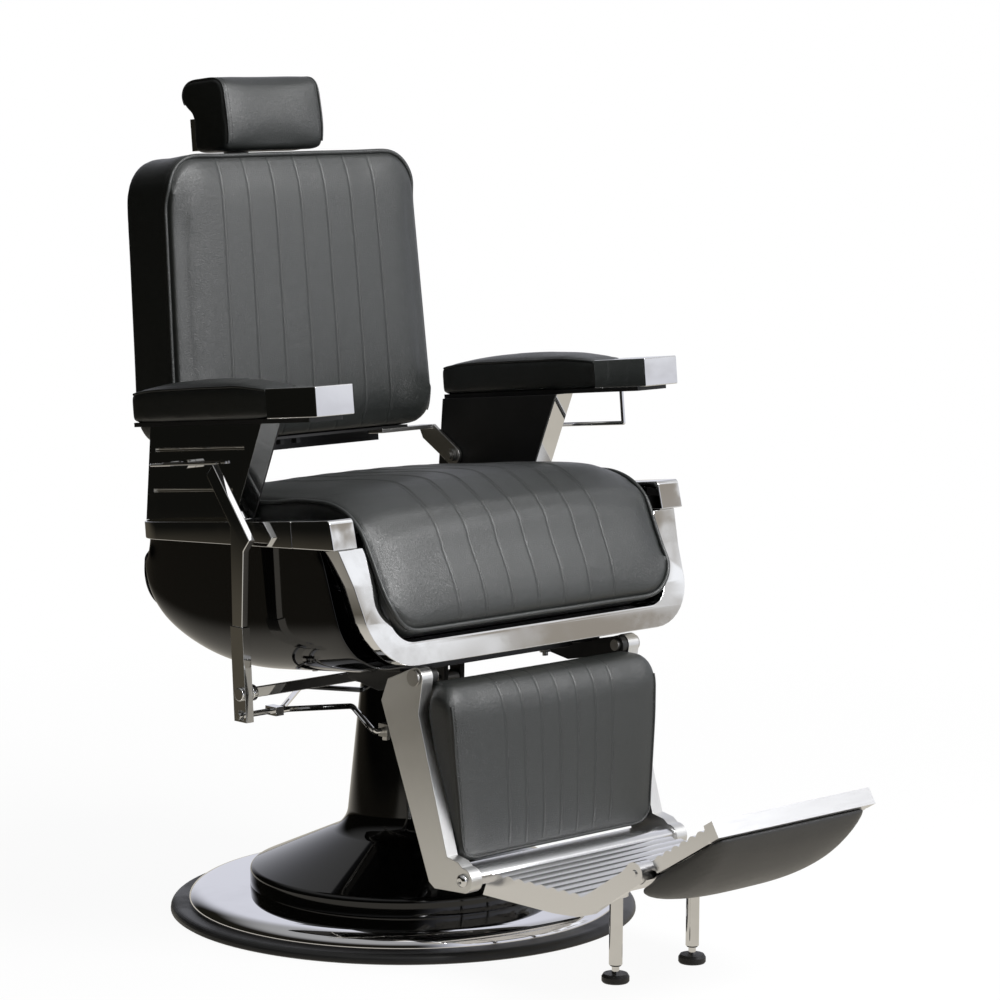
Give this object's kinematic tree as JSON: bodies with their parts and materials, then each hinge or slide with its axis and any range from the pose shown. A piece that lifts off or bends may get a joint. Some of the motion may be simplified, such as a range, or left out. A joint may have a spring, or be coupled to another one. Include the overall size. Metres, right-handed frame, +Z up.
{
  "type": "hydraulic barber chair",
  "caption": "Reclining hydraulic barber chair with a round base, tub seat, padded back, arms and headrest, and a swing-up leg rest with a folding ribbed footplate.",
  "frame": {"origin": "centre of the base on the floor", "axes": "+Z up along the pump column; the sitter faces -Y; +X is the sitter's left"},
  "size_m": [0.702, 1.1239, 1.1671],
  "materials": {
    "chrome": "polished",
    "steel": "satin",
    "cast_aluminium": "polished",
    "rubber": "matte",
    "upholstery": "satin",
    "black_paint": "glossy",
    "plywood": "matte",
    "black_panel": "satin"
  },
  "bodies": {
    "base": {"base_plate": "chrome", "rubber_rim": "rubber", "bell_cover": "black_paint", "cover_collar": "black_paint", "pump_socket": "steel", "socket_bolts": "steel", "pump_cylinder": "steel"},
    "ram": {"pump_ram": "chrome"},
    "seat": {"seat_mount": "black_paint", "mount_bolts": "steel", "seat_frame": "black_paint", "seat_pan": "plywood", "seat_cushion": "upholstery", "seat_tub": "black_paint", "front_band": "chrome", "rail_left": "chrome", "rail_right": "chrome", "rail_corner_left": "chrome", "rail_corner_right": "chrome", "arm_post_left": "chrome", "arm_post_right": "chrome", "arm_lining_left": "black_panel", "arm_lining_right": "black_panel", "arm_board_left": "black_panel", "arm_board_right": "black_panel", "arm_cap_left": "chrome", "arm_cap_right": "chrome", "arm_pad_left": "upholstery", "arm_pad_right": "upholstery", "towel_bar": "chrome", "lever_bracket": "chrome", "recline_bolts": "steel", "leg_hinge_arms": "black_paint"},
    "lever": {"lever_socket": "chrome", "lever_handle": "chrome"},
    "yoke": {"yoke_link": "chrome", "pump_yoke": "chrome", "yoke_clamps": "steel"},
    "rocker": {"pump_rocker": "steel"},
    "release": {"release_handle": "chrome"},
    "back": {"back_cushion": "upholstery", "back_board": "black_panel", "back_arm_left": "steel", "back_arm_right": "steel", "back_channel": "black_paint", "headrest_guide": "black_paint"},
    "headrest": {"headrest_bar": "chrome", "headrest_bracket": "chrome", "headrest_cushion": "upholstery"},
    "leg_rest": {"leg_arm_left": "steel", "leg_arm_right": "steel", "leg_pad": "upholstery", "leg_board": "black_panel", "leg_pivots": "steel", "toe_rod": "steel"},
    "footplate": {"footplate": "cast_aluminium", "support_legs": "chrome", "rubber_feet": "rubber"},
    "flip_plate": {"flip_plate": "cast_aluminium", "flip_pad": "upholstery"}
  },
  "joints": [
    {"name": "lift", "type": "slide", "parent": "base", "child": "ram", "axis": [0, 0, 1], "range_m": [0, 0.15]},
    {"name": "swivel", "type": "hinge", "parent": "ram", "child": "seat", "pos_m": [0, 0, 0.35], "axis": [0, 0, 1], "continuous": true},
    {"name": "lever_stroke", "type": "hinge", "parent": "seat", "child": "lever", "pos_m": [-0.35, -0.068, 0.36], "axis": [1, 0, 0], "range_deg": [-4, 22]},
    {"name": "yoke_travel", "type": "slide", "parent": "seat", "child": "yoke", "axis": [0, 1, 0], "range_m": [-0.00202, 0.01114]},
    {"name": "rocker_swing", "type": "hinge", "parent": "seat", "child": "rocker", "pos_m": [0, -0.092, 0.344], "axis": [1, 0, 0], "range_deg": [-1.93, 10.63]},
    {"name": "release_turn", "type": "hinge", "parent": "seat", "child": "release", "pos_m": [-0.302, 0.10551, 0.64833], "axis": [1, 0, 0], "range_deg": [0, 20], "stiffness_Nm_per_rad": 0.4},
    {"name": "recline", "type": "hinge", "parent": "seat", "child": "back", "pos_m": [0, 0.1699, 0.6104], "axis": [-1, 0, 0], "range_deg": [0, 50]},
    {"name": "headrest_height", "type": "slide", "parent": "back", "child": "headrest", "axis": [0, 0.1045, 0.9945], "range_m": [0, 0.08]},
    {"name": "leg_swing", "type": "hinge", "parent": "seat", "child": "leg_rest", "pos_m": [0, -0.246, 0.388], "axis": [-1, 0, 0], "range_deg": [0, 50]},
    {"name": "footplate_fold", "type": "hinge", "parent": "leg_rest", "child": "footplate", "pos_m": [0, -0.339, 0.13], "axis": [-1, 0, 0], "range_deg": [0, 60]},
    {"name": "plate_flip", "type": "hinge", "parent": "footplate", "child": "flip_plate", "pos_m": [0, -0.61096, 0.18036], "axis": [-1, 0, 0], "range_deg": [0, 130]}
  ],
  "couplings": [
    {"joint": "yoke_travel", "follows": "lever_stroke", "m_per_rad": 0.029},
    {"joint": "rocker_swing", "follows": "lever_stroke", "ratio": 0.48333},
    {"joint": "leg_swing", "follows": "recline", "ratio": 1}
  ]
}
